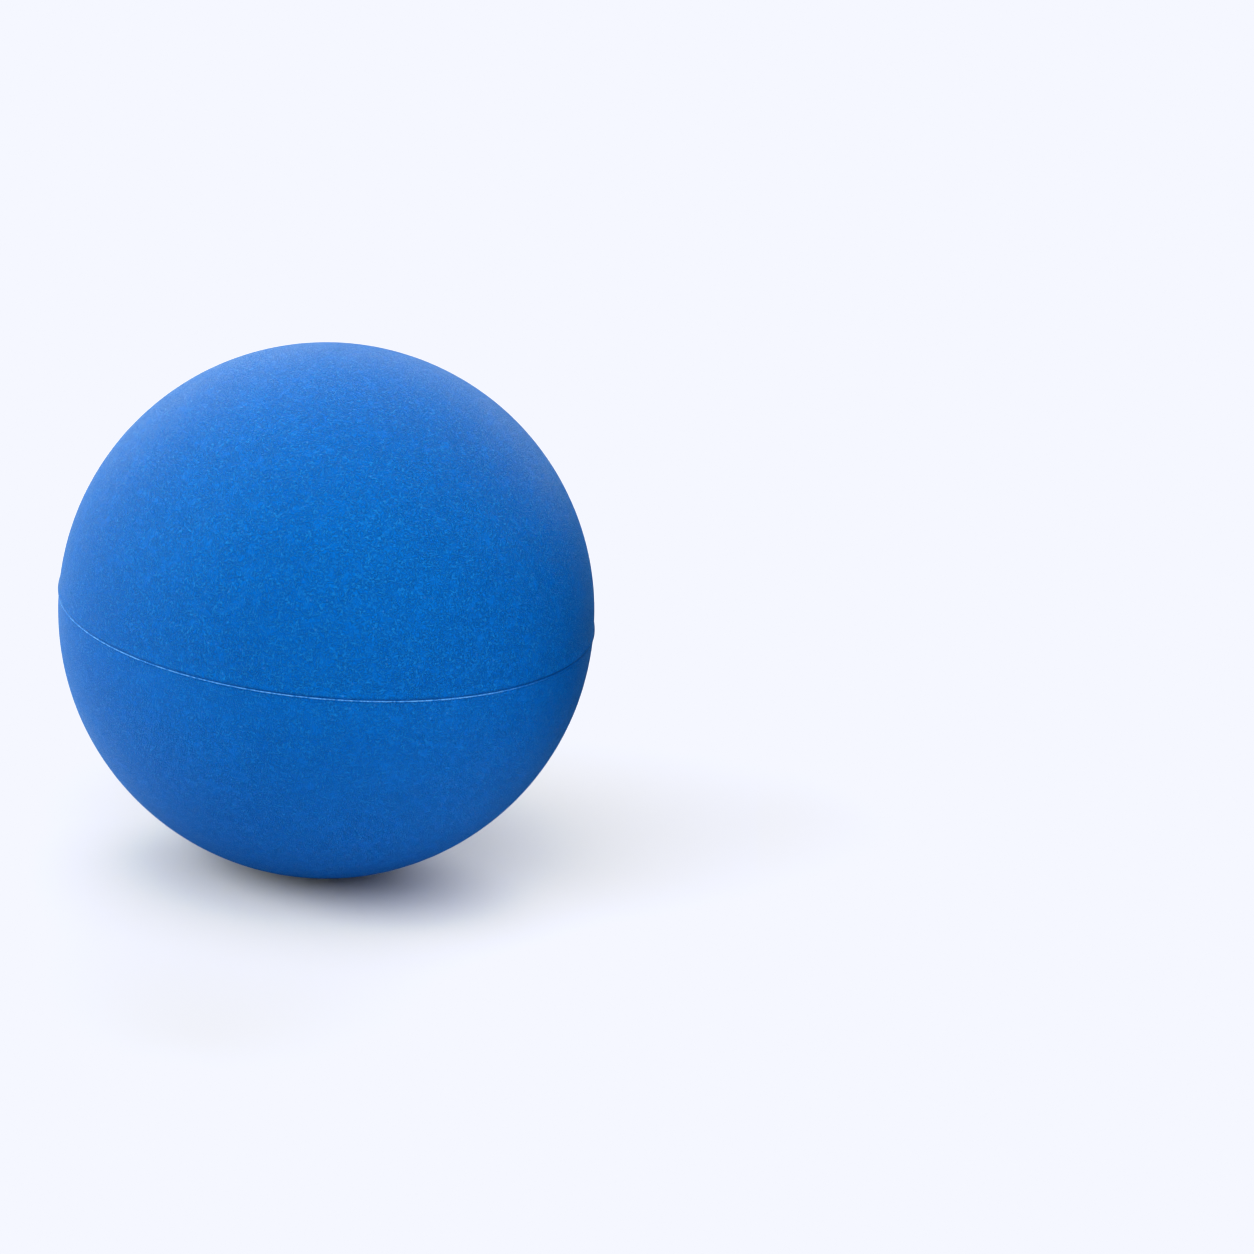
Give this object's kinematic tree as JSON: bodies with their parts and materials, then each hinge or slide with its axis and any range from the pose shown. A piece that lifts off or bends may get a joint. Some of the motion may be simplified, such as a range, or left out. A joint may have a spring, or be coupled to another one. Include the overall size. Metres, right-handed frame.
{
  "type": "squash ball",
  "caption": "Small hollow rubber ball with a matt, finely pebbled blue surface and a thin moulding seam round its middle.",
  "frame": {"origin": "centre of the ball", "axes": "+Z along the pole axis, square to the seam, towards the upper half shell"},
  "size_m": [0.0402, 0.0402, 0.04],
  "materials": {
    "shell_rubber": "matt moulded rubber with a fine pebbled grain and a soft sheen",
    "cured_cement": "cured rubber cement, smoother and slightly lighter than the shells"
  },
  "bodies": {
    "root": {"upper_half_shell": "shell_rubber", "lower_half_shell": "shell_rubber", "seam_cement": "cured_cement"}
  },
  "joints": []
}
